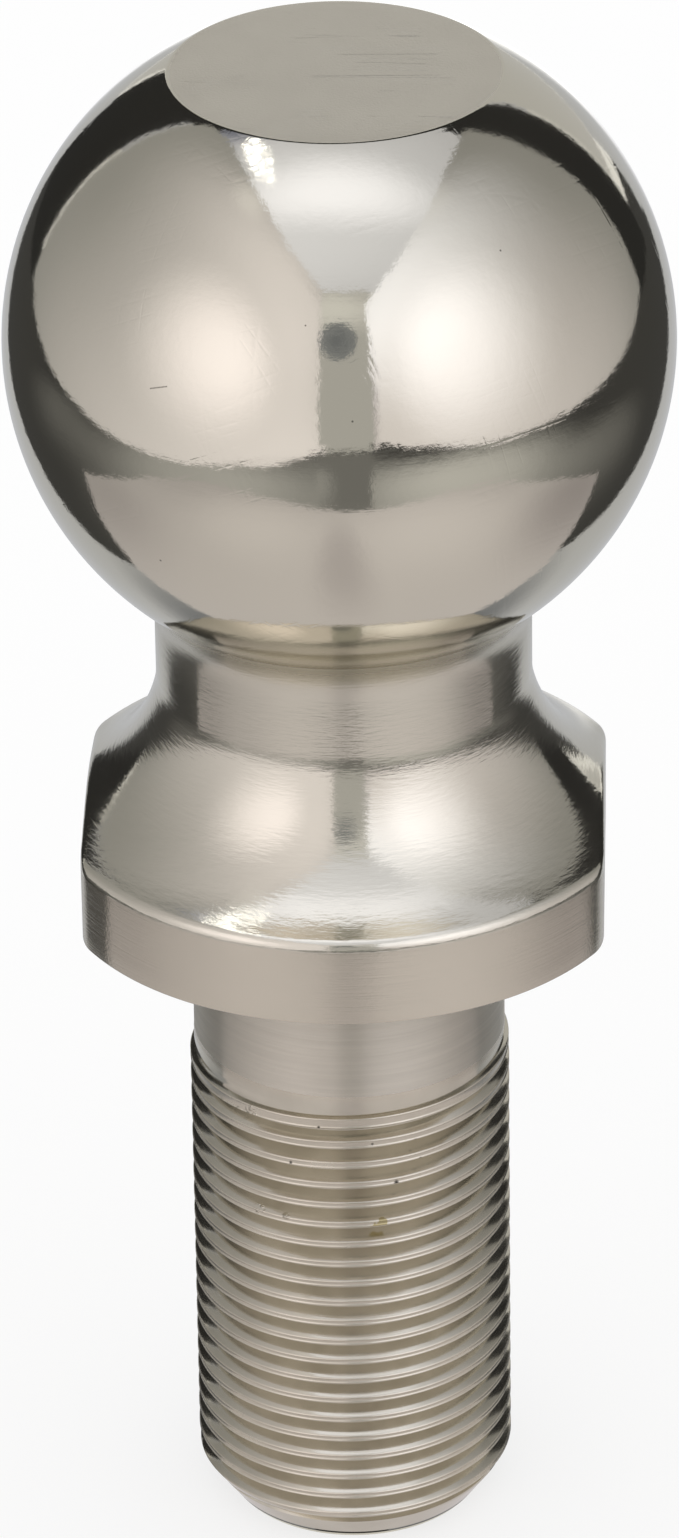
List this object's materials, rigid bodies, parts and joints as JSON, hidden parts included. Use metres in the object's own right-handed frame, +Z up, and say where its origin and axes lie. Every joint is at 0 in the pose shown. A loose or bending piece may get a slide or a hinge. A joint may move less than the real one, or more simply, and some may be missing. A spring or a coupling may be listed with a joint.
{
  "type": "threaded tow ball",
  "caption": "Polished steel coupler ball on a waisted neck that flares into a round flange with wrench flats, over a plain shank threaded down to its chamfered end.",
  "frame": {"origin": "on the turning axis, in the plane of the seat under the flange", "axes": "+Z up the turning axis from the shank to the ball; the two wrench flats face +X and -X"},
  "size_m": [0.0508, 0.0508, 0.1239],
  "materials": {
    "polished_steel": "polished warm grey nickel plating, satin on the top flat, flange wall and shank"
  },
  "bodies": {
    "root": {"tow_ball": "polished_steel"}
  },
  "joints": []
}
